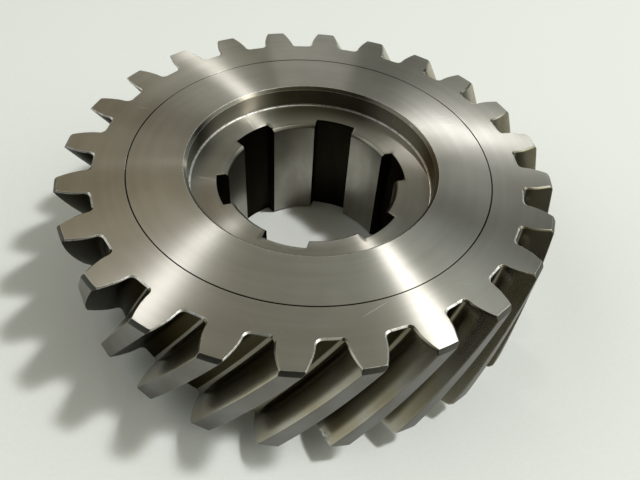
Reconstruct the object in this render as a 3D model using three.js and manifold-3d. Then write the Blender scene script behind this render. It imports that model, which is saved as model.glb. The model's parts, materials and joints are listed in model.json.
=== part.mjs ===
// Helical gear: a toothed ring shrunk onto a splined hub.
// Millimetres. +Z is the bore axis, and z = 0 is the hub's lower end face, where the gear stands.
// The +X axis runs through the middle of one spline slot.
import * as THREE from 'three';
import { mergeVertices } from 'three/addons/utils/BufferGeometryUtils.js';
import Module from 'manifold-3d';

// Toothing. The teeth are right-handed: going up, they lean anticlockwise seen from above.
const TOOTH_COUNT = 24;
const NORMAL_MODULE = 5;
const HELIX_ANGLE = THREE.MathUtils.degToRad(32);
const NORMAL_PRESSURE_ANGLE = THREE.MathUtils.degToRad(14.5);
const DEDENDUM = 0.97 * NORMAL_MODULE;
const ROOT_FILLET_RISE = 2.2;
const TIP_CHAMFER = 1.1;
const FACE_WIDTH = 40;
// A tooth's middle on the upper face lies this far clockwise of a spline slot's middle.
const TOOTH_OFFSET = THREE.MathUtils.degToRad(2.5);

// The joint between ring and hub: a shrink fit, with a small chamfer on both edges.
const SEAT_RADIUS = 56;
const SEAT_GAP = 0.02;
const SEAT_CHAMFER = 0.22;

// Hub. Its boss reaches below the toothed ring.
const HUB_LENGTH = 47.5;
const BOSS_RADIUS = 46;
const BOSS_CHAMFER = 1.2;
const COUNTERBORE_RADIUS = 38.5;
const COUNTERBORE_DEPTH = 7.4;
const COUNTERBORE_CHAMFER = 1;
const COUNTERBORE_FILLET = 0.6;

// Straight-sided spline in the bore.
const SLOT_COUNT = 6;
const SLOT_WIDTH = 13.2;
const SPLINE_MAJOR_RADIUS = 30;
const SPLINE_MINOR_RADIUS = 26.5;
const LAND_CHAMFER = 0.9;

// Facets: along each flank, up the face width, and round each turned surface.
const FLANK_STEPS = 3;
const TWIST_STEPS = 6;
const TURNED_SEGMENTS = 72;

// Worked out from the dimensions above.
const PITCH_RADIUS = (TOOTH_COUNT * NORMAL_MODULE) / (2 * Math.cos(HELIX_ANGLE));
const TIP_RADIUS = PITCH_RADIUS + NORMAL_MODULE;
const ROOT_RADIUS = PITCH_RADIUS - DEDENDUM;
const TRANSVERSE_PRESSURE_ANGLE = Math.atan(
  Math.tan(NORMAL_PRESSURE_ANGLE) / Math.cos(HELIX_ANGLE),
);
const BASE_RADIUS = PITCH_RADIUS * Math.cos(TRANSVERSE_PRESSURE_ANGLE);
const TWIST_PER_MM = Math.tan(HELIX_ANGLE) / PITCH_RADIUS;
const TOOTH_PITCH = (2 * Math.PI) / TOOTH_COUNT;
const RING_BOTTOM = HUB_LENGTH - FACE_WIDTH;
const COUNTERBORE_FLOOR = HUB_LENGTH - COUNTERBORE_DEPTH;

const manifold = await Module();
manifold.setup();

const polar = (radius, angle) => new THREE.Vector2(
  radius * Math.cos(angle),
  radius * Math.sin(angle),
);
const involute = (angle) => Math.tan(angle) - angle;

// Half the angle that a tooth spans at a radius. Below the base circle the flank runs straight in.
function halfToothAngle(radius) {
  const flankAngle = Math.acos(BASE_RADIUS / Math.max(radius, BASE_RADIUS));
  return TOOTH_PITCH / 4 + involute(TRANSVERSE_PRESSURE_ANGLE) - involute(flankAngle);
}

// One flank from the top of its root fillet to the tip. Side is -1 or +1 from the tooth's middle.
function flankPoints(middle, side) {
  const foot = ROOT_RADIUS + ROOT_FILLET_RISE;
  return Array.from({ length: FLANK_STEPS + 1 }, (_, step) => {
    const radius = foot + ((TIP_RADIUS - foot) * step) / FLANK_STEPS;
    return polar(radius, middle + side * halfToothAngle(radius));
  });
}

// The transverse outline of all teeth: root, fillet, flank, tip, flank, fillet, and round again.
function toothedOutline() {
  const rootHalfAngle = halfToothAngle(ROOT_RADIUS);
  const filletAngle = ROOT_FILLET_RISE / ROOT_RADIUS;
  const outline = new THREE.Shape();
  for (let tooth = 0; tooth < TOOTH_COUNT; tooth += 1) {
    const middle = tooth * TOOTH_PITCH;
    const rising = flankPoints(middle, -1);
    const falling = flankPoints(middle, 1).reverse();
    const filletStart = polar(ROOT_RADIUS, middle - rootHalfAngle - filletAngle);
    const filletEnd = polar(ROOT_RADIUS, middle + rootHalfAngle + filletAngle);
    const risingCorner = polar(ROOT_RADIUS, middle - rootHalfAngle);
    const fallingCorner = polar(ROOT_RADIUS, middle + rootHalfAngle);
    if (tooth === 0) outline.moveTo(filletStart.x, filletStart.y);
    else outline.lineTo(filletStart.x, filletStart.y);
    outline.quadraticCurveTo(risingCorner.x, risingCorner.y, rising[0].x, rising[0].y);
    for (const point of [...rising.slice(1), ...falling]) outline.lineTo(point.x, point.y);
    outline.quadraticCurveTo(fallingCorner.x, fallingCorner.y, filletEnd.x, filletEnd.y);
  }
  outline.closePath();
  return outline;
}

// Turns each layer of an upright extrusion about Z by its height, which makes straight teeth helical.
function twist(geometry, angleAt) {
  const position = geometry.attributes.position;
  const point = new THREE.Vector3();
  const axis = new THREE.Vector3(0, 0, 1);
  for (let index = 0; index < position.count; index += 1) {
    point.fromBufferAttribute(position, index);
    point.applyAxisAngle(axis, angleAt(point.z));
    position.setXYZ(index, point.x, point.y, point.z);
  }
  return geometry;
}

// A ring turned about Z from a closed profile of [radius, height] pairs, anticlockwise.
function turned(profile) {
  const points = [...profile, profile[0]].map(([radius, height]) => new THREE.Vector2(radius, height));
  return new THREE.LatheGeometry(points, TURNED_SEGMENTS).rotateX(Math.PI / 2);
}

function toSolid(geometry) {
  const bare = geometry.clone();
  bare.deleteAttribute('normal');
  bare.deleteAttribute('uv');
  const merged = mergeVertices(bare);
  return new manifold.Manifold(new manifold.Mesh({
    numProp: 3,
    vertProperties: new Float32Array(merged.attributes.position.array),
    triVerts: new Uint32Array(merged.index.array),
  }));
}

function toGeometry(solid) {
  const mesh = solid.getMesh();
  const geometry = new THREE.BufferGeometry();
  geometry.setAttribute('position', new THREE.BufferAttribute(mesh.vertProperties, 3));
  geometry.setIndex(new THREE.BufferAttribute(mesh.triVerts, 1));
  geometry.computeVertexNormals();
  return geometry;
}

// The ring's blank: its bore is the seat, and its outside is cut only where the tip chamfers run.
function ringBlank() {
  const beyond = TIP_RADIUS + TIP_CHAMFER;
  return turned([
    [SEAT_RADIUS + SEAT_CHAMFER, RING_BOTTOM],
    [TIP_RADIUS - TIP_CHAMFER, RING_BOTTOM],
    [beyond, RING_BOTTOM + 2 * TIP_CHAMFER],
    [beyond, HUB_LENGTH - 2 * TIP_CHAMFER],
    [TIP_RADIUS - TIP_CHAMFER, HUB_LENGTH],
    [SEAT_RADIUS + SEAT_CHAMFER, HUB_LENGTH],
    [SEAT_RADIUS, HUB_LENGTH - SEAT_CHAMFER],
    [SEAT_RADIUS, RING_BOTTOM + SEAT_CHAMFER],
  ]);
}

// The toothed bar that the ring's teeth come from, twisted so that its top layer meets TOOTH_OFFSET.
function helicalBar() {
  const bar = new THREE.ExtrudeGeometry(toothedOutline(), {
    depth: FACE_WIDTH,
    steps: TWIST_STEPS,
    curveSegments: 2,
    bevelEnabled: false,
  });
  twist(bar, (height) => (height - FACE_WIDTH) * TWIST_PER_MM - TOOTH_OFFSET);
  return bar.translate(0, 0, RING_BOTTOM);
}

function toothedRing() {
  return toGeometry(toSolid(helicalBar()).intersect(toSolid(ringBlank())));
}

// The quarter arc between the counterbore's wall and its floor.
function counterboreFillet() {
  const arc = new THREE.EllipseCurve(
    COUNTERBORE_RADIUS - COUNTERBORE_FILLET,
    COUNTERBORE_FLOOR + COUNTERBORE_FILLET,
    COUNTERBORE_FILLET,
    COUNTERBORE_FILLET,
    0,
    -Math.PI / 2,
    true,
  );
  return arc.getPoints(2).map((point) => [point.x, point.y]);
}

function hubBlank() {
  const seat = SEAT_RADIUS - SEAT_GAP;
  return turned([
    [SPLINE_MINOR_RADIUS + LAND_CHAMFER, 0],
    [BOSS_RADIUS - BOSS_CHAMFER, 0],
    [BOSS_RADIUS, BOSS_CHAMFER],
    [BOSS_RADIUS, RING_BOTTOM],
    [seat - SEAT_CHAMFER, RING_BOTTOM],
    [seat, RING_BOTTOM + SEAT_CHAMFER],
    [seat, HUB_LENGTH - SEAT_CHAMFER],
    [seat - SEAT_CHAMFER, HUB_LENGTH],
    [COUNTERBORE_RADIUS + COUNTERBORE_CHAMFER, HUB_LENGTH],
    [COUNTERBORE_RADIUS, HUB_LENGTH - COUNTERBORE_CHAMFER],
    ...counterboreFillet(),
    [SPLINE_MINOR_RADIUS + LAND_CHAMFER, COUNTERBORE_FLOOR],
    [SPLINE_MINOR_RADIUS, COUNTERBORE_FLOOR - LAND_CHAMFER],
    [SPLINE_MINOR_RADIUS, LAND_CHAMFER],
  ]);
}

// One spline slot as a bar along the bore: flat sides, and a floor that follows the major circle.
function slotBar(angle) {
  const halfWidth = SLOT_WIDTH / 2;
  const innerReach = SPLINE_MINOR_RADIUS * 0.75;
  const floorHalfAngle = Math.asin(halfWidth / SPLINE_MAJOR_RADIUS);
  const outline = new THREE.Shape();
  outline.moveTo(innerReach, -halfWidth);
  outline.absarc(0, 0, SPLINE_MAJOR_RADIUS, -floorHalfAngle, floorHalfAngle, false);
  outline.lineTo(innerReach, halfWidth);
  outline.closePath();
  const bar = new THREE.ExtrudeGeometry(outline, {
    depth: HUB_LENGTH + 2,
    curveSegments: 5,
    bevelEnabled: false,
  });
  return bar.rotateZ(angle).translate(0, 0, -1);
}

function splinedHub() {
  let hub = toSolid(hubBlank());
  for (let slot = 0; slot < SLOT_COUNT; slot += 1) {
    hub = hub.subtract(toSolid(slotBar((slot * 2 * Math.PI) / SLOT_COUNT)));
  }
  return toGeometry(hub);
}

// Both pieces are bright steel. The ring is the harder, slightly warmer-looking one.
const RING_STEEL = new THREE.MeshStandardMaterial({ color: 0x8f8b83, roughness: 0.32, metalness: 1 });
const HUB_STEEL = new THREE.MeshStandardMaterial({ color: 0x96938c, roughness: 0.28, metalness: 1 });

function piece(name, geometry, material) {
  const mesh = new THREE.Mesh(geometry, material);
  mesh.name = name;
  return mesh;
}

const gear = new THREE.Group();
gear.add(piece('toothed_ring', toothedRing(), RING_STEEL));
gear.add(piece('splined_hub', splinedHub(), HUB_STEEL));

export default gear;
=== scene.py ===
# Helical gear of bright steel, standing on a sheet of white paper.
# Metres. The pieces' places and outer sizes come from the imported frame. Their details repeat the CAD part's,
# with finer edges and small roundings added. The chip, the scratches, the camera and the light follow the
# photo: the camera's and the lights' values were fitted to it, then rounded or changed.
import json
import math

import bpy
import numpy as np
from mathutils import Matrix, Vector


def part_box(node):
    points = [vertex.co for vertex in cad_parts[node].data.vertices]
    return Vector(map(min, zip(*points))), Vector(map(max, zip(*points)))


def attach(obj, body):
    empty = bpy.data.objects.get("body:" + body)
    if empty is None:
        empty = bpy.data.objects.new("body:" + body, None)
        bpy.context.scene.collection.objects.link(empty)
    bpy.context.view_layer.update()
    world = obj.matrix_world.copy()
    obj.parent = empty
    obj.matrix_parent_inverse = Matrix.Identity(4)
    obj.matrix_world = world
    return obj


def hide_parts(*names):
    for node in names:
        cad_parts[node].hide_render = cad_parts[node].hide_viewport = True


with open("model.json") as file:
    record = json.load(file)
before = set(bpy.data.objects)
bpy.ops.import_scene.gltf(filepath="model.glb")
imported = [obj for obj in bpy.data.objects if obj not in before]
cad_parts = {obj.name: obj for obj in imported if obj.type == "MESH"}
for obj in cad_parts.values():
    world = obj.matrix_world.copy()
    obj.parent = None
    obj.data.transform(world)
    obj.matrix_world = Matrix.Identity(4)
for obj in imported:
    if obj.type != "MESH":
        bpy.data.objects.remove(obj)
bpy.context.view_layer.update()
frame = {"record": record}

MM = 0.001

# ---------------------------------------------------------------- sizes from the frame
ring_low, ring_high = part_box("toothed_ring")
hub_low, hub_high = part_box("splined_hub")
mounts = {mount["name"]: mount for mount in frame["record"]["mounts"]}

TOP = hub_high.z
RING_BOTTOM = ring_low.z
TIP_RADIUS = (ring_high.x - ring_low.x) / 2
SEAT_RADIUS = (hub_high.x - hub_low.x) / 2
FLOOR = mounts["counterbore_floor"]["pos_m"][2]

# ---------------------------------------------------------------- toothing
TOOTH_COUNT = 24
NORMAL_MODULE = 5 * MM
HELIX = math.radians(32)
NORMAL_PRESSURE = math.radians(14.5)
TOOTH_OFFSET = math.radians(2.5)
PITCH_RADIUS = TIP_RADIUS - NORMAL_MODULE
DEDENDUM = 0.97 * NORMAL_MODULE
ROOT_RADIUS = PITCH_RADIUS - DEDENDUM
TRANSVERSE_PRESSURE = math.atan(math.tan(NORMAL_PRESSURE) / math.cos(HELIX))
BASE_RADIUS = PITCH_RADIUS * math.cos(TRANSVERSE_PRESSURE)
TOOTH_PITCH = math.tau / TOOTH_COUNT
TWIST_RATE = math.tan(HELIX) / PITCH_RADIUS

ROOT_FILLET = 2.2 * MM
TIP_CHAMFER = 1.1 * MM
TIP_CORNER = 0.18 * MM
# The bevel on a flank's edge: its width on the end face, its depth down the flank, its rounding, and the
# share of all that the tooth's blunt corner gets.
FACE_EDGE = 0.55 * MM
EDGE_DEPTH = 0.38 * MM
EDGE_ROUNDING = 0.2 * MM
BLUNT_SHARE = 0.45
# A ring of points this far from a rounding holds the flat beside it.
HOLD = 0.07 * MM
# The band of flat end face inside the roots.
WEB_INSET = 1.5 * MM

# The chip in a tooth's lower corner is longer outwards, goes up as well as into the tooth, and is rippled.
CHIP_TURN = math.radians(-99.9)
CHIP_RADIUS = 72.6 * MM
CHIP_DEPTH = 1.5 * MM
CHIP_REACH = 3.4 * MM
CHIP_STRETCH = 0.45
CHIP_RISE = 1.1
CHIP_RIPPLE = 0.3
RIPPLES_PER_METRE = (2900, 3700, 5300)

# Points along each stretch of a tooth's outline, and rings of points up the ring.
ROOT_POINTS = 4
FILLET_POINTS = 9
FLANK_POINTS = 15
CORNER_POINTS = 4
TIP_POINTS = 4
BODY_RINGS = 27
SEAT_RINGS = 13

# ---------------------------------------------------------------- hub and bore
SEAT_GAP = 0.02 * MM
SEAT_CHAMFER = 0.22 * MM
SEAM_RADIUS = SEAT_RADIUS + SEAT_GAP / 2
BOSS_RADIUS = 46 * MM
BOSS_CHAMFER = 1.2 * MM
BOSS_ROUNDING = 0.12 * MM
BOSS_FILLET = 1.2 * MM
COUNTERBORE_RADIUS = 38.5 * MM
MOUTH_CHAMFER = 1 * MM
MOUTH_ROUNDING = 0.22 * MM
COUNTERBORE_FILLET = 0.6 * MM
SLOT_COUNT = 6
SLOT_HALF_WIDTH = 6.6 * MM
SLOT_RADIUS = 30 * MM
LAND_RADIUS = 26.5 * MM
LAND_CHAMFER = 0.9 * MM
SLOT_EDGE = 0.15 * MM
# The band of flat end face round the slots.
BORE_MARGIN = 1.5 * MM
SLOT_FLOOR_POINTS = 21
SLOT_WALL_POINTS = 5
LAND_POINTS = 25


# ================================================================ outlines in polar form
def involute(angle):
    return np.tan(angle) - angle


def half_tooth_angle(radius):
    """Half the angle that a tooth spans at a radius; below the base circle the flank runs straight in."""
    flank_angle = np.arccos(BASE_RADIUS / np.maximum(radius, BASE_RADIUS))
    return TOOTH_PITCH / 4 + involute(TRANSVERSE_PRESSURE) - involute(flank_angle)


def bezier(first, corner, last, steps):
    """Points on a quadratic curve between two (radius, angle) pairs, without the last one."""
    t = np.arange(steps)[:, None] / steps
    first, corner, last = (np.array(point, float) for point in (first, corner, last))
    return (1 - t) ** 2 * first + 2 * t * (1 - t) * corner + t**2 * last


def half_tooth(tip_radius, inset, flank_inset):
    """(radius, angle) pairs from the middle of a root to the middle of a tip, set in from full form."""
    root = ROOT_RADIUS - inset
    foot = ROOT_RADIUS + ROOT_FILLET - inset
    slope = 1 / math.cos(TRANSVERSE_PRESSURE)

    def flank(radius):
        return half_tooth_angle(radius) - flank_inset * slope / radius

    root_corner = flank(foot)
    fillet_start = root_corner + ROOT_FILLET / root
    root_angles = np.linspace(TOOTH_PITCH / 2, fillet_start, ROOT_POINTS)[:-1]
    root_arc = np.stack([np.full_like(root_angles, root), root_angles], 1)
    fillet = bezier((root, fillet_start), (root, root_corner), (foot, root_corner), FILLET_POINTS)
    flank_radii = np.linspace(foot, tip_radius - TIP_CORNER, FLANK_POINTS)
    flank_line = np.stack([flank_radii, flank(flank_radii)], 1)[:-1]
    tip_angle = flank(tip_radius)
    corner = bezier(
        (tip_radius - TIP_CORNER, flank(tip_radius - TIP_CORNER)),
        (tip_radius, tip_angle),
        (tip_radius, tip_angle - TIP_CORNER / tip_radius),
        CORNER_POINTS,
    )
    land_angles = np.linspace(tip_angle - TIP_CORNER / tip_radius, 0, TIP_POINTS)
    land = np.stack([np.full_like(land_angles, tip_radius), land_angles], 1)
    return np.concatenate([root_arc, fillet, flank_line, corner, land])


def toothed_outline(tip_radius=TIP_RADIUS, inset=0.0, blunt_side=-1):
    """(radius, angle) pairs once round all teeth, anticlockwise, from the middle of a root.
    The tooth's blunt corner, on the side of that sign, is set in less than its sharp one."""
    insets = (inset * BLUNT_SHARE, inset) if blunt_side < 0 else (inset, inset * BLUNT_SHARE)
    rising = half_tooth(tip_radius, inset, insets[0]) * [1, -1]
    falling = half_tooth(tip_radius, inset, insets[1])[::-1][1:-1]
    tooth = np.concatenate([rising, falling])
    return np.concatenate([tooth + [0, index * TOOTH_PITCH] for index in range(TOOTH_COUNT)])


def spline_outline(land_radius=LAND_RADIUS, inset=0.0):
    """(radius, angle) pairs once round the bore: slot floor, slot wall, land, slot wall."""
    half_width = SLOT_HALF_WIDTH + inset
    floor_radius = SLOT_RADIUS + inset
    floor_angle = math.asin(half_width / floor_radius)
    land_angle = math.asin(half_width / land_radius)
    slot_pitch = math.tau / SLOT_COUNT
    floor_angles = np.linspace(-floor_angle, floor_angle, SLOT_FLOOR_POINTS)
    floor_line = np.stack([np.full_like(floor_angles, floor_radius), floor_angles], 1)
    wall_radii = np.linspace(floor_radius, land_radius, SLOT_WALL_POINTS)[1:-1]
    wall = np.stack([wall_radii, np.arcsin(half_width / wall_radii)], 1)
    land_angles = np.linspace(land_angle, slot_pitch - land_angle, LAND_POINTS)
    land = np.stack([np.full_like(land_angles, land_radius), land_angles], 1)
    far_wall = wall[::-1] * [1, -1] + [0, slot_pitch]
    slot = np.concatenate([floor_line, wall, land, far_wall])
    return np.concatenate([slot + [0, index * slot_pitch] for index in range(SLOT_COUNT)])


# ================================================================ rings of points
def ring_of(outline, height, turn=0.0):
    """World points of a polar outline at a height, turned about the axis."""
    radius, angle = outline[:, 0], outline[:, 1] + turn
    heights = np.full_like(radius, height)
    return np.stack([radius * np.cos(angle), radius * np.sin(angle), heights], 1)


def circle_like(outline, radius, height, turn=0.0):
    """A circle whose points lie at the same angles as the outline's."""
    angles = outline[:, 1]
    return ring_of(np.stack([np.full_like(angles, radius), angles], 1), height, turn)


def rounded_profile(corners, steps=4):
    """(radius, height) points along a path of (radius, height, rounding) corners.
    Each rounding gets an arc, and a point just outside each end of it that holds the flat beside it."""
    points = [np.array(corners[0][:2])]
    for before, here, after in zip(corners, corners[1:], corners[2:]):
        corner = np.array(here[:2])
        towards = [np.array(other[:2]) - corner for other in (before, after)]
        towards = [way / np.linalg.norm(way) for way in towards]
        if here[2] == 0:
            points.append(corner)
            continue
        half_angle = math.acos(float(np.clip(towards[0] @ towards[1], -1, 1))) / 2
        tangent = here[2] / math.tan(half_angle)
        middle = towards[0] + towards[1]
        centre = corner + middle / np.linalg.norm(middle) * here[2] / math.sin(half_angle)
        start = corner + towards[0] * tangent - centre
        end = corner + towards[1] * tangent - centre
        sweep = math.pi - 2 * half_angle
        points.append(corner + towards[0] * (tangent + HOLD))
        for step in range(steps + 1):
            share = step / steps
            weights = math.sin((1 - share) * sweep), math.sin(share * sweep)
            points.append(centre + (start * weights[0] + end * weights[1]) / math.sin(sweep))
        points.append(corner + towards[1] * (tangent + HOLD))
    points.append(np.array(corners[-1][:2]))
    return points


def skin(name, rings, smooth_below=35):
    """A closed mesh through rings of equally many points, with the last ring joined to the first."""
    count = len(rings[0])
    vertices = np.concatenate(rings)
    here = np.arange(count)
    after = (here + 1) % count
    faces = []
    for index in range(len(rings)):
        low = index * count
        high = (index + 1) % len(rings) * count
        faces.append(np.stack([low + here, low + after, high + after, high + here], 1))
    faces = np.concatenate(faces)
    mesh = bpy.data.meshes.new(name)
    mesh.from_pydata(vertices.tolist(), [], faces.tolist())
    mesh.shade_smooth()
    mesh.set_sharp_from_angle(angle=math.radians(smooth_below))
    piece = bpy.data.objects.new(name, mesh)
    bpy.context.scene.collection.objects.link(piece)
    return piece


# ================================================================ the toothed ring
def eased(reach, blend=0.12 * MM):
    """`reach` above zero and nothing below it, with a short blend between."""
    if abs(reach) < blend:
        return (reach + blend) ** 2 / (4 * blend)
    return max(reach, 0)


def end_levels():
    """(depth below an end face, tip radius, inset) from the face down to full form.
    The flanks' edges are broken by a small bevel, and the tips by a wider one."""
    bevel = rounded_profile([
        (FACE_EDGE + 3 * HOLD, 0, 0),
        (FACE_EDGE, 0, EDGE_ROUNDING),
        (0, EDGE_DEPTH, EDGE_ROUNDING),
        (0, TIP_CHAMFER - 2 * HOLD, 0),
    ])
    points = bevel + [(0, TIP_CHAMFER + share * HOLD) for share in (-1, 0, 1, 2, 3)]
    levels = []
    for inset, depth in points:
        excess = max(inset - FACE_EDGE * max(1 - depth / EDGE_DEPTH, 0), 0)
        levels.append((depth, TIP_RADIUS - eased(TIP_CHAMFER - depth) - excess, inset))
    return levels


def chip_share(points):
    """How strongly each point belongs to the chip in the lower corner of one tooth, from 0 to 1."""
    outward = np.array([math.cos(CHIP_TURN), math.sin(CHIP_TURN), 0.0])
    away = points - outward * CHIP_RADIUS - [0, 0, RING_BOTTOM]
    along = away @ outward
    distance = np.linalg.norm(away - np.outer(along, outward) * CHIP_STRETCH, axis=1)
    return np.clip(1 - distance / CHIP_REACH, 0, 1)


def chipped(points):
    """Points with the chip pushed into the tooth, its bottom left ragged."""
    inward = np.array([-math.sin(CHIP_TURN), math.cos(CHIP_TURN), CHIP_RISE])
    ripple = np.sin(points @ RIPPLES_PER_METRE)
    depth = CHIP_DEPTH * (1 - CHIP_RIPPLE + CHIP_RIPPLE * ripple)
    return points + np.outer(chip_share(points) ** 1.2 * depth, inward)


def twist_at(height):
    """How far the teeth have turned about the axis at a height."""
    return -TOOTH_OFFSET - (TOP - height) * TWIST_RATE


def build_ring():
    nominal = toothed_outline()
    levels = end_levels()
    face_outline = toothed_outline(*levels[0][1:])

    def seat_circle(radius, height):
        return circle_like(face_outline, radius, height, twist_at(height))

    def end_face(height):
        radii = (SEAT_RADIUS + SEAT_GAP + SEAT_CHAMFER, ROOT_RADIUS - WEB_INSET)
        return [seat_circle(radius, height) for radius in radii]

    def end_zone(direction, face_height):
        zone = []
        for depth, tip_radius, inset in levels:
            height = face_height - direction * depth
            outline = toothed_outline(tip_radius, inset, -direction)
            zone.append(ring_of(outline, height, twist_at(height)))
        return zone

    last_depth = levels[-1][0]
    body_heights = np.linspace(RING_BOTTOM + last_depth, TOP - last_depth, BODY_RINGS)[1:-1]
    body = [ring_of(nominal, height, twist_at(height)) for height in body_heights]
    seat_heights = np.linspace(TOP - SEAT_CHAMFER, RING_BOTTOM + SEAT_CHAMFER, SEAT_RINGS)
    seat = [seat_circle(SEAT_RADIUS + SEAT_GAP, height) for height in seat_heights]
    rings = end_face(RING_BOTTOM) + end_zone(-1, RING_BOTTOM) + body
    rings += end_zone(1, TOP)[::-1] + end_face(TOP)[::-1] + seat
    piece = skin("toothed_ring_steel", [chipped(points) for points in rings])
    add_grain_uv(piece, len(rings), len(nominal))
    return piece


def add_grain_uv(piece, ring_count, point_count):
    """A UV map in metres: U runs across the tooth grain, round the outline, and V along the tooth."""
    mesh = piece.data
    points = np.zeros(len(mesh.vertices) * 3)
    mesh.vertices.foreach_get("co", points)
    points = points.reshape(ring_count, point_count, 3)
    closed = np.concatenate([points, points[:, :1]], 1)
    across = np.zeros((ring_count, point_count + 1))
    across[:, 1:] = np.cumsum(np.linalg.norm(np.diff(closed[..., :2], axis=1), axis=2), 1)
    heights = points[:, 0, 2]
    uv = []
    for ring in range(ring_count):
        other = (ring + 1) % ring_count
        for point in range(point_count):
            uv += [across[ring, point], heights[ring], across[ring, point + 1], heights[ring]]
            uv += [across[other, point + 1], heights[other], across[other, point], heights[other]]
    layer = mesh.uv_layers.new(name="grain")
    layer.data.foreach_set("uv", np.array(uv, np.float32))


# ================================================================ the splined hub
def build_hub():
    nominal = spline_outline()
    profile = rounded_profile([
        (SLOT_RADIUS + BORE_MARGIN, 0, 0),
        (BOSS_RADIUS - BOSS_CHAMFER, 0, BOSS_ROUNDING),
        (BOSS_RADIUS, BOSS_CHAMFER, BOSS_ROUNDING),
        (BOSS_RADIUS, RING_BOTTOM, BOSS_FILLET),
        (SEAT_RADIUS - SEAT_CHAMFER, RING_BOTTOM, 0),
        (SEAT_RADIUS, RING_BOTTOM + SEAT_CHAMFER, 0),
        (SEAT_RADIUS, TOP - SEAT_CHAMFER, 0),
        (SEAT_RADIUS - SEAT_CHAMFER, TOP, 0),
        (COUNTERBORE_RADIUS + MOUTH_CHAMFER, TOP, MOUTH_ROUNDING),
        (COUNTERBORE_RADIUS, TOP - MOUTH_CHAMFER, MOUTH_ROUNDING),
        (COUNTERBORE_RADIUS, FLOOR, COUNTERBORE_FILLET),
        (SLOT_RADIUS + BORE_MARGIN, FLOOR, 0),
    ])
    turned = [circle_like(nominal, radius, height) for radius, height in profile]

    def mouth(face_height, direction):
        """The bore's outline from an end face inwards: slot edge, then the land chamfer to full form."""
        rings = []
        chamfered = LAND_RADIUS + LAND_CHAMFER
        part_edge = 0.3 * SLOT_EDGE
        for depth, land_radius, inset in (
            (0, chamfered + HOLD, SLOT_EDGE),
            (part_edge, chamfered - part_edge, part_edge),
            (SLOT_EDGE, chamfered - SLOT_EDGE, 0),
            (LAND_CHAMFER - 0.5 * HOLD, LAND_RADIUS + 0.7 * HOLD, 0),
            (LAND_CHAMFER + HOLD, LAND_RADIUS, 0),
            (LAND_CHAMFER + 3 * HOLD, LAND_RADIUS, 0),
        ):
            outline = spline_outline(land_radius, inset)
            rings.append(ring_of(outline, face_height + direction * depth))
        return rings

    rings = turned + mouth(FLOOR, -1) + mouth(0, 1)[::-1]
    return skin("splined_hub_steel", rings, smooth_below=40)


# ================================================================ materials
# Detail sizes of the steels and the paper, as features in a metre.
TURNING_MARKS = 2600
TURNING_BANDS = 330
DRIFT_ROUND_AXIS = 14
TURNED_PATCHES = 38
FLANK_PATCHES = 90
FLANK_LINES = (1500, 60)
BROACH_LINES = (1500, 1500, 40)
BROACH_PATCHES = (160, 160, 60)
WORN_SPOTS = 900
PAPER_FIBRES = 900

BUMP_STEP = 0.02 * MM
WIDE_LOBE_SHARE = 0.5
SEAM_HALF_WIDTH = 0.11 * MM
SEAM_FADE = 0.25 * MM
# How far out from the roots the flanks' painted shade reaches.
ROOT_SHADE_REACH = 5 * MM
SCRATCH_HALF_WIDTH = 0.05 * MM
SCRATCH_FADE = 0.15 * MM
HAIRLINE_TURNS = (0.35, 1.3, 2.4)
HAIRLINE_STRENGTH = 0.5
# Noise values mostly lie in this range.
NOISE_LOW, NOISE_HIGH = 0.3, 0.7
# A face whose normal rises more than this lies flat.
FLAT_RISE = 0.98

# Scratches on the upper face: middle x, middle y and half length in mm, heading in degrees, and strength.
SCRATCHES = [
    (1.4, -58.7, 5.0, 22, 1.0),
    (48.9, 13.9, 2.2, -9, 0.35),
    (50.4, 12.2, 1.7, -22, 0.25),
    (49.6, 9.1, 2.6, -15, 0.3),
]


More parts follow.
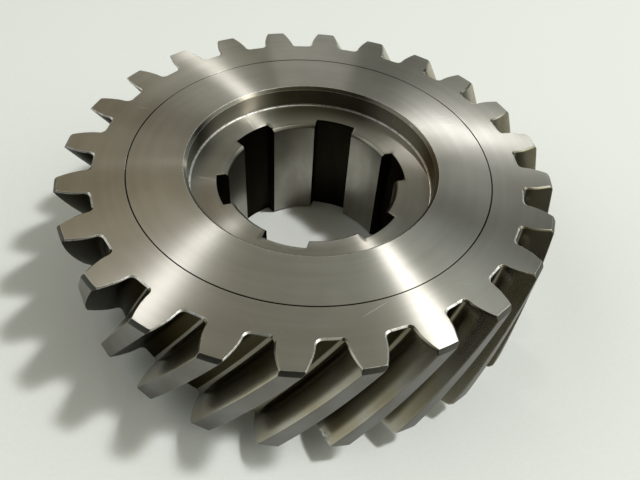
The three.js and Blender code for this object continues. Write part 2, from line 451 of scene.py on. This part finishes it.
class Shader:
    """A material's node tree, with one short call per node."""

    def __init__(self, name):
        self.material = bpy.data.materials.new(name)
        self.material.use_nodes = True
        self.tree = self.material.node_tree
        self.surface = self.tree.nodes["Principled BSDF"]

    def node(self, kind, inputs=None, **settings):
        made = self.tree.nodes.new("ShaderNode" + kind)
        for key, value in settings.items():
            setattr(made, key, value)
        for key, value in (inputs or {}).items():
            self.feed(made.inputs[key], value)
        return made

    def feed(self, socket, value):
        if isinstance(value, bpy.types.NodeSocket):
            self.tree.links.new(value, socket)
        else:
            socket.default_value = value

    def math(self, operation, first, second=0.0):
        return self.node("Math", {0: first, 1: second}, operation=operation).outputs[0]

    def vector(self, x, y, z):
        return self.node("CombineXYZ", {0: x, 1: y, 2: z}).outputs[0]

    def noise(self, vector, detail, roughness=0.55):
        inputs = {"Vector": vector, "Scale": 1.0, "Detail": detail, "Roughness": roughness}
        return self.node("TexNoise", inputs).outputs[0]

    def ramp(self, value, low, high, low_out=0.0, high_out=1.0):
        inputs = {0: value, 1: low, 2: high, 3: low_out, 4: high_out}
        return self.node("MapRange", inputs, interpolation_type="SMOOTHSTEP").outputs[0]

    def mix(self, share, first, second):
        """A share of the second colour in the first. The Mix node keeps its colours at 6, 7 and 2."""
        return self.node("Mix", {0: share, 6: first, 7: second}, data_type="RGBA").outputs[2]

    def scaled(self, vector, *factors):
        factors = factors if len(factors) == 3 else factors * 3
        return self.node("VectorMath", {0: vector, 1: factors}, operation="MULTIPLY").outputs[0]

    def radius(self, x, y):
        """Distance from the gear's axis."""
        flat_place = self.vector(x, y, 0.0)
        return self.node("VectorMath", {0: flat_place}, operation="LENGTH").outputs["Value"]

    def bump(self, height, strength, step=BUMP_STEP):
        inputs = {"Strength": strength, "Distance": step, "Height": height}
        return self.node("Bump", inputs).outputs[0]

    def radial_tangent(self):
        return self.node("Tangent", direction_type="RADIAL", axis="Z").outputs[0]

    def mottled(self, value, dark, light):
        """Two colours blended by a noise value."""
        return self.mix(self.ramp(value, NOISE_LOW, NOISE_HIGH), dark, light)

    def blend(self, share, other):
        """Shows a share of another shader over the Principled one."""
        both = self.node("MixShader", {0: share, 1: self.surface.outputs[0], 2: other.outputs[0]})
        self.tree.links.new(both.outputs[0], self.tree.nodes["Material Output"].inputs[0])

    def finish(self, **inputs):
        for name, value in inputs.items():
            self.feed(self.surface.inputs[name.replace("_", " ")], value)
        return self.material


def grey(value, warmth=0.0):
    """A linear grey, warmer for a positive warmth: mostly less blue, and a little more red."""
    return (value * (1 + 0.4 * warmth), value, value * (1 - warmth), 1.0)


def scratch(shader, x, y, middle_x, middle_y, half_length, heading, strength):
    """A mask of one thin straight scratch that fades towards its ends."""
    cosine = math.cos(math.radians(heading))
    sine = math.sin(math.radians(heading))
    off_x = shader.math("SUBTRACT", x, middle_x * MM)
    off_y = shader.math("SUBTRACT", y, middle_y * MM)
    distances = []
    for way_x, way_y in ((cosine, sine), (-sine, cosine)):
        part_x = shader.math("MULTIPLY", off_x, way_x)
        part_y = shader.math("MULTIPLY", off_y, way_y)
        distances.append(shader.math("ABSOLUTE", shader.math("ADD", part_x, part_y)))
    along, across = distances
    long = shader.ramp(along, 0.3 * half_length * MM, half_length * MM, strength, 0.0)
    thin = shader.ramp(across, SCRATCH_HALF_WIDTH, SCRATCH_FADE, 1.0, 0.0)
    return shader.math("MULTIPLY", long, thin)


def hairlines(shader, place):
    """A mask of sparse, nearly straight handling scratches that run in a few directions."""
    total = 0.0
    for index, turn in enumerate(HAIRLINE_TURNS):
        turned = shader.node("VectorRotate", {"Vector": place, "Angle": turn}, rotation_type="Z_AXIS")
        streaks = shader.noise(shader.scaled(turned.outputs[0], 9 + 4 * index, 260, 30), 0)
        off_middle = shader.math("ABSOLUTE", shader.math("SUBTRACT", streaks, 0.5))
        thin = shader.ramp(off_middle, 0.001, 0.006, 1.0, 0.0)
        here = shader.noise(shader.scaled(turned.outputs[0], 60, 90, 60), 2)
        where = shader.ramp(here, 0.64, 0.72)
        total = shader.math("ADD", total, shader.math("MULTIPLY", thin, where))
    return shader.math("MULTIPLY", shader.math("MINIMUM", total, 1.0), HAIRLINE_STRENGTH)


def turned_steel(name, value, warmth):
    """Steel off the lathe: marks run round the axis, and spread light in a narrow and a wide lobe."""
    shader = Shader(name)
    place = shader.node("TexCoord").outputs["Object"]
    x, y, z = shader.node("SeparateXYZ", {0: place}).outputs
    radius = shader.radius(x, y)
    across = shader.math("ADD", radius, z)
    around = [shader.math("MULTIPLY", axis, DRIFT_ROUND_AXIS) for axis in (x, y)]
    fine = shader.noise(shader.vector(shader.math("MULTIPLY", across, TURNING_MARKS), *around), 4)
    broad = shader.noise(shader.vector(shader.math("MULTIPLY", across, TURNING_BANDS), *around), 3)
    patches = shader.noise(shader.scaled(place, TURNED_PATCHES), 3)
    tone = shader.math("ADD", shader.math("MULTIPLY", broad, 0.35), shader.math("MULTIPLY", patches, 0.65))
    colour = shader.mottled(tone, grey(value * 0.86, warmth), grey(value * 1.1, warmth * 0.8))
    colour = shader.mix(hairlines(shader, place), colour, grey(0.95, 0.03))
    for line in SCRATCHES:
        colour = shader.mix(scratch(shader, x, y, *line), colour, grey(1.0))
    gap = shader.math("ABSOLUTE", shader.math("SUBTRACT", radius, SEAM_RADIUS))
    seam = shader.ramp(gap, SEAM_HALF_WIDTH, SEAM_FADE, 1.0, 0.0)
    colour = shader.mix(seam, colour, grey(0.012, 0.3))
    bump = shader.bump(fine, 0.05)
    tangent = shader.radial_tangent()
    wide = shader.node("BsdfAnisotropic", {
        "Color": colour,
        "Roughness": shader.ramp(fine, 0.25, 0.75, 0.32, 0.34),
        "Anisotropy": 0.8,
        "Normal": bump,
        "Tangent": tangent,
    })
    shader.blend(WIDE_LOBE_SHARE, wide)
    return shader.finish(
        Base_Color=colour,
        Metallic=1.0,
        Roughness=shader.ramp(fine, 0.25, 0.75, 0.25, 0.27),
        Anisotropic=1.0,
        Anisotropic_Rotation=0.25,
        Tangent=tangent,
        Normal=bump,
    )


def flank_steel(name, value, warmth, roughness, glance=1.0):
    """Steel cut along the teeth: fine lines follow the helix, and painted shade darkens it towards the roots.
    `glance` is its tone seen edge-on.
    """
    shader = Shader(name)
    place = shader.node("TexCoord").outputs
    lines = shader.noise(shader.scaled(place["UV"], *FLANK_LINES, 0), 2)
    patches = shader.noise(shader.scaled(place["Object"], FLANK_PATCHES), 2)
    colour = shader.mottled(patches, grey(value * 0.85, warmth), grey(value * 1.1, warmth * 0.5))
    x, y = shader.node("SeparateXYZ", {0: place["Object"]}).outputs[:2]
    # Painted shade: the flanks darken towards the roots, where the neighbouring teeth shade them.
    root_shade = shader.ramp(shader.radius(x, y), ROOT_RADIUS, ROOT_RADIUS + ROOT_SHADE_REACH, 0.7, 0.0)
    colour = shader.mix(root_shade, colour, grey(0.05, 0.4))
    return shader.finish(
        Base_Color=colour,
        Specular_Tint=grey(glance),
        Metallic=1.0,
        Roughness=shader.ramp(lines, 0.25, 0.75, roughness - 0.015, roughness + 0.015),
        Normal=shader.bump(lines, 0.01),
    )


def broached_steel(name, value, warmth, roughness, glance=1.0):
    """Steel cut along the bore: lines run up and down. `glance` is its tone seen edge-on."""
    shader = Shader(name)
    place = shader.node("TexCoord").outputs["Object"]
    lines = shader.noise(shader.scaled(place, *BROACH_LINES), 4)
    patches = shader.noise(shader.scaled(place, *BROACH_PATCHES), 3)
    return shader.finish(
        Base_Color=shader.mottled(patches, grey(value * 0.85, warmth), grey(value * 1.1, warmth)),
        Specular_Tint=grey(glance),
        Metallic=1.0,
        Roughness=shader.ramp(lines, 0.25, 0.75, roughness - 0.02, roughness + 0.02),
        Anisotropic=0.6,
        Tangent=shader.radial_tangent(),
        Normal=shader.bump(lines, 0.06),
    )


def worn_edge_and_highlight(name, value, roughness):
    """A corner rubbed bright by handling and lit up with a painted highlight, with small unworn spots."""
    shader = Shader(name)
    place = shader.node("TexCoord").outputs["Object"]
    spots = shader.noise(shader.scaled(place, WORN_SPOTS), 4, 0.7)
    worn_and_highlit = shader.ramp(spots, NOISE_LOW, 0.55)
    return shader.finish(
        Base_Color=shader.mix(worn_and_highlit, grey(value * 0.45, 0.05), grey(value, 0.03)),
        Metallic=1.0,
        Roughness=shader.ramp(spots, NOISE_LOW, NOISE_HIGH, roughness + 0.08, roughness - 0.05),
        Normal=shader.bump(spots, 0.25, 1.5 * BUMP_STEP),
    )


def paper(name):
    """Plain white paper with a fine fibre."""
    shader = Shader(name)
    place = shader.node("TexCoord").outputs["Object"]
    fibre = shader.noise(shader.scaled(place, PAPER_FIBRES), 5)
    shade = shader.ramp(fibre, 0.2, 0.8)
    colour = shader.mix(shade, (0.80, 0.81, 0.785, 1.0), (0.83, 0.84, 0.815, 1.0))
    return shader.finish(Base_Color=colour, Roughness=0.9)


def faces_of(piece):
    """Centres and normals of a piece's faces."""
    mesh = piece.data
    centres = np.zeros(len(mesh.polygons) * 3)
    normals = np.zeros(len(mesh.polygons) * 3)
    mesh.polygons.foreach_get("center", centres)
    mesh.polygons.foreach_get("normal", normals)
    return centres.reshape(-1, 3), normals.reshape(-1, 3)


def dress(piece, materials, choice):
    """Gives the piece its materials and each face the index of one of them."""
    for material in materials:
        piece.data.materials.append(material)
    piece.data.polygons.foreach_set("material_index", choice.astype(np.int32))
    piece.data.update()


def dress_ring(piece):
    turned = turned_steel("ring_turned_steel", value=0.55, warmth=0.09)
    flank = flank_steel("ring_flank_steel", value=0.42, warmth=0.28, roughness=0.24)
    # Painted shade: the flanks that face one way round the axis get a much darker copy of the flank steel.
    shaded_flank = flank_steel("ring_shaded_flank_steel", value=0.08, warmth=0.30, roughness=0.30, glance=0.3)
    tip = flank_steel("ring_tip_steel", value=0.17, warmth=0.10, roughness=0.42)
    # The bright edge steel is partly wear and partly a painted highlight.
    edge = worn_edge_and_highlight("ring_edge_steel", value=0.95, roughness=0.40)
    centres, normals = faces_of(piece)
    radii = np.hypot(centres[:, 0], centres[:, 1])
    on_teeth = (radii > ROOT_RADIUS - FACE_EDGE) & (np.abs(normals[:, 2]) < FLAT_RISE)
    outward = (centres[:, :2] * normals[:, :2]).sum(1) / radii
    on_tip = on_teeth & (radii > TIP_RADIUS - TIP_CHAMFER - FACE_EDGE) & (outward > 0.6)
    depth = np.minimum(TOP - centres[:, 2], centres[:, 2] - RING_BOTTOM)
    sideways = (centres[:, 0] * normals[:, 1] - centres[:, 1] * normals[:, 0]) / radii
    sharp_side = np.sign(centres[:, 2] - (TOP + RING_BOTTOM) / 2)
    # The bevels on the teeth's sharp corners get the bright edge steel: partly wear, partly a painted
    # highlight.
    on_edge = on_teeth & ~on_tip & (depth < EDGE_DEPTH) & (sideways * sharp_side > -0.15)
    # The flanks that get the painted shade.
    on_shaded_flank = on_teeth & (sideways > -0.1)
    on_chip = on_teeth & (chip_share(centres) > 0.35)
    # The first test that a face passes decides its material, by place in the list below.
    choice = np.select([on_chip, on_tip, on_edge, on_shaded_flank, on_teeth], [3, 2, 3, 4, 1], 0)
    dress(piece, [turned, flank, tip, edge, shaded_flank], choice)


def dress_hub(piece):
    turned = turned_steel("hub_turned_steel", value=0.56, warmth=0.08)
    # Painted shade: the counterbore's floor, and its wall more so, get darker copies of the turned steel.
    floor = turned_steel("counterbore_floor_steel", value=0.42, warmth=0.12)
    shaded_bore_wall = turned_steel("counterbore_wall_steel", value=0.25, warmth=0.20)
    # Painted highlight: the counterbore's roundings get the bright edge steel, which is also wear at the
    # mouth.
    edge = worn_edge_and_highlight("hub_edge_steel", value=0.75, roughness=0.35)
    land = broached_steel("bore_land_steel", value=0.36, warmth=0.12, roughness=0.30)
    slot = broached_steel("slot_dark_steel", value=0.02, warmth=0.3, roughness=0.5, glance=0.3)
    centres, normals = faces_of(piece)
    radii = np.hypot(centres[:, 0], centres[:, 1])
    in_bore = (radii < SLOT_RADIUS + SLOT_EDGE) & (np.abs(normals[:, 2]) < FLAT_RISE)
    inward = -(centres[:, :2] * normals[:, :2]).sum(1) / radii
    on_land = in_bore & (radii < LAND_RADIUS + LAND_CHAMFER) & (inward > 0.5)
    on_slot = in_bore & ~on_land
    in_counterbore = (centres[:, 2] > FLOOR - SLOT_EDGE) & ~in_bore
    in_counterbore &= radii < COUNTERBORE_RADIUS + MOUTH_CHAMFER + MOUTH_ROUNDING
    upward = np.abs(normals[:, 2])
    on_floor = in_counterbore & (upward > 0.99) & (centres[:, 2] < FLOOR + SLOT_EDGE)
    on_chamfer = np.abs(upward - math.sqrt(0.5)) < 0.03
    on_wall = in_counterbore & ((upward < 0.05) | on_chamfer)
    # The mouth rounding and the foot fillet get a painted highlight, with wear at the mouth.
    on_rounding = in_counterbore & ~on_wall & (upward < 0.99)
    # The first test that a face passes decides its material, by place in the list below.
    choice = np.select([on_slot, on_land, on_floor, on_wall, on_rounding], [2, 1, 3, 4, 5], 0)
    dress(piece, [turned, land, slot, floor, shaded_bore_wall, edge], choice)


# ================================================================ stage
# Azimuths run anticlockwise from the camera's right, which this turn puts in the part's own axes.
# Like elevations, they are in degrees and seen from the centre of the upper face.
VIEW_TURN = math.radians(-21.71)
CAMERA_AZIMUTH = -84.41
CAMERA_ELEVATION = 40.83
CAMERA_DISTANCE = 199.2 * MM
CAMERA_TILT = math.radians(47.27)
CAMERA_ROLL = math.radians(7.38)
CAMERA_LENS = 35.7
CAMERA_SHIFT = (-0.0488, -0.007)

LAMP_DISTANCE = 1.6
PAPER_REACH = 2.0
WHITE = (1.0, 0.99, 0.96)
COOL_WHITE = (0.96, 1.0, 1.0)
# (name, azimuth, elevation, width, height, strength): strength is radiance times solid angle at the gear.
SOFTBOXES = [
    ("window", 8, 60, 0.16, 0.20, 0.82),
    ("low_right", 63.6, 12.7, 0.12, 0.10, 0.07),
    ("low_back", 96.5, 14, 0.32, 0.20, 0.10),
]
# The same, for lights that only the paper receives.
PAPER_LIGHTS = [
    ("window_on_paper", 10, 60, 0.11, 0.11, 1.10),
    ("left_on_paper", -165, 38, 1.4, 1.4, 0.55),
]
# (name, azimuth, elevation, size, strength, radius and azimuth of the place lit on the upper face, beam).
SNOOTED_LAMPS = [
    ("beam_left", 123.6, 54, 0.12, 0.19, 53.3 * MM, -124.3, 4.2),
    ("beam_right", 97.5, 47.8, 0.012, 0.165, 59.8 * MM, 20.6, 2.7),
]

NEUTRAL = (0.95, 1.0, 0.93)
WARM = (1.05, 1.0, 0.65)
COOL = (0.86, 1.0, 1.0)
AMBER = (1.7, 1.0, 0.1)
# (azimuth, elevation, spread, brightness, tint) of the soft glows that make up the room.
ROOM_GLOWS = [
    (-90, 10, 26, 0.045, WARM),
    (0, 10, 26, 0.15, WARM),
    (60, 10, 26, 0.72, COOL),
    (-180, 40, 34, 0.93, NEUTRAL),
    (-45, 40, 34, 0.12, WARM),
    (0, 40, 34, 1.42, NEUTRAL),
    (90, 40, 34, 0.36, NEUTRAL),
    (135, 40, 34, 0.11, AMBER),
    (0, 80, 42, 0.22, WARM),
]
# What the camera sees past the paper's edge. It lights nothing.
BACKDROP = (0.66, 0.69, 0.64)


def direction(azimuth, elevation):
    """A unit vector in the part's own axes, from angles in degrees."""
    turn = math.radians(azimuth) + VIEW_TURN
    rise = math.radians(elevation)
    return Vector((math.cos(turn) * math.cos(rise), math.sin(turn) * math.cos(rise), math.sin(rise)))


def add_camera():
    data = bpy.data.cameras.new("camera")
    data.lens = CAMERA_LENS
    data.shift_x, data.shift_y = CAMERA_SHIFT
    data.clip_start = 10 * MM
    camera = bpy.data.objects.new("camera", data)
    bpy.context.scene.collection.objects.link(camera)
    place = Vector((0, 0, TOP)) + direction(CAMERA_AZIMUTH, CAMERA_ELEVATION) * CAMERA_DISTANCE
    turn = Matrix.Rotation(VIEW_TURN, 4, "Z")
    look = Matrix.Rotation(math.pi / 2 - CAMERA_TILT, 4, "X") @ Matrix.Rotation(CAMERA_ROLL, 4, "Z")
    camera.matrix_world = Matrix.Translation(place) @ turn @ look
    bpy.context.scene.camera = camera


def add_lights(paper_sheet):
    for light in SOFTBOXES:
        add_softbox(*light, WHITE)
    for lamp in SNOOTED_LAMPS:
        add_snooted_lamp(*lamp)
    only_paper = bpy.data.collections.new("only_paper")
    only_paper.objects.link(paper_sheet)
    for light in PAPER_LIGHTS:
        lamp = add_softbox(*light, COOL_WHITE)
        lamp.light_linking.receiver_collection = only_paper


def place_lamp(name, data, azimuth, elevation, target):
    """Hangs a lamp at a direction from the upper face, facing the target."""
    lamp = bpy.data.objects.new(name, data)
    bpy.context.scene.collection.objects.link(lamp)
    lamp.location = Vector((0, 0, TOP)) + direction(azimuth, elevation) * LAMP_DISTANCE
    lamp.rotation_euler = (lamp.location - target).to_track_quat("Z", "Y").to_euler()
    return lamp


def add_snooted_lamp(name, azimuth, elevation, size, strength, aim_radius, aim_azimuth, beam):
    """A lamp whose narrow beam reaches only a part of the gear. It adds nothing to reflected light."""
    data = bpy.data.lights.new(name, "SPOT")
    data.energy = strength * math.pi * 4 * LAMP_DISTANCE**2
    data.shadow_soft_size = size / 2
    data.spot_size = math.radians(beam)
    data.spot_blend = 1.0
    data.cycles.max_bounces = 0
    target = Vector((0, 0, TOP)) + direction(aim_azimuth, 0) * aim_radius
    place_lamp(name, data, azimuth, elevation, target)


def add_softbox(name, azimuth, elevation, width, height, strength, colour):
    """An area light facing the gear."""
    data = bpy.data.lights.new(name, "AREA")
    data.shape = "RECTANGLE"
    data.size, data.size_y = width, height
    data.energy = strength * math.pi * LAMP_DISTANCE**2
    data.color = colour
    return place_lamp(name, data, azimuth, elevation, Vector((0, 0, TOP)))


def vector_math(tree, operation, **inputs):
    """A vector node whose inputs, named by place as in_0 or by name, are values or other nodes' outputs."""
    node = tree.nodes.new("ShaderNodeVectorMath")
    node.operation = operation
    for key, value in inputs.items():
        socket = node.inputs[int(key[3:]) if key.startswith("in_") else key]
        if isinstance(value, bpy.types.NodeSocket):
            tree.links.new(value, socket)
        else:
            socket.default_value = value
    return node


def add_world():
    """A room of soft glows, with a plain backdrop for the camera."""
    world = bpy.data.worlds.new("room")
    world.use_nodes = True
    bpy.context.scene.world = world
    tree = world.node_tree
    way = tree.nodes.new("ShaderNodeTexCoord").outputs["Generated"]
    total = (0.0, 0.0, 0.0)
    for azimuth, elevation, spread, brightness, tint in ROOM_GLOWS:
        facing = vector_math(tree, "DOT_PRODUCT", in_0=way, in_1=direction(azimuth, elevation))
        fall = tree.nodes.new("ShaderNodeMapRange")
        fall.interpolation_type = "SMOOTHSTEP"
        fall.inputs[1].default_value = math.cos(math.radians(spread))
        tree.links.new(facing.outputs["Value"], fall.inputs[0])
        colour = Vector(tint) * brightness
        total = vector_math(tree, "MULTIPLY_ADD", in_0=fall.outputs[0], in_1=colour, in_2=total).outputs[0]
    camera_ray = tree.nodes.new("ShaderNodeLightPath").outputs["Is Camera Ray"]
    backdrop = vector_math(tree, "SCALE", in_0=BACKDROP, Scale=camera_ray).outputs[0]
    seen = vector_math(tree, "MAXIMUM", in_0=total, in_1=backdrop).outputs[0]
    tree.links.new(seen, tree.nodes["Background"].inputs[0])


def add_paper_floor():
    mesh = bpy.data.meshes.new("paper_floor")
    signs = ((-1, -1), (1, -1), (1, 1), (-1, 1))
    corners = [(x * PAPER_REACH, y * PAPER_REACH, 0) for x, y in signs]
    mesh.from_pydata(corners, [], [(0, 1, 2, 3)])
    mesh.materials.append(paper("white_paper"))
    sheet = bpy.data.objects.new("paper_floor", mesh)
    bpy.context.scene.collection.objects.link(sheet)
    return sheet


# ================================================================ assembly
ring = build_ring()
dress_ring(ring)
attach(ring, "root")
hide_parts("toothed_ring")

hub = build_hub()
dress_hub(hub)
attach(hub, "root")
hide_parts("splined_hub")

paper_sheet = add_paper_floor()
add_world()
add_lights(paper_sheet)
add_camera()
bpy.context.scene.view_settings.view_transform = "Standard"
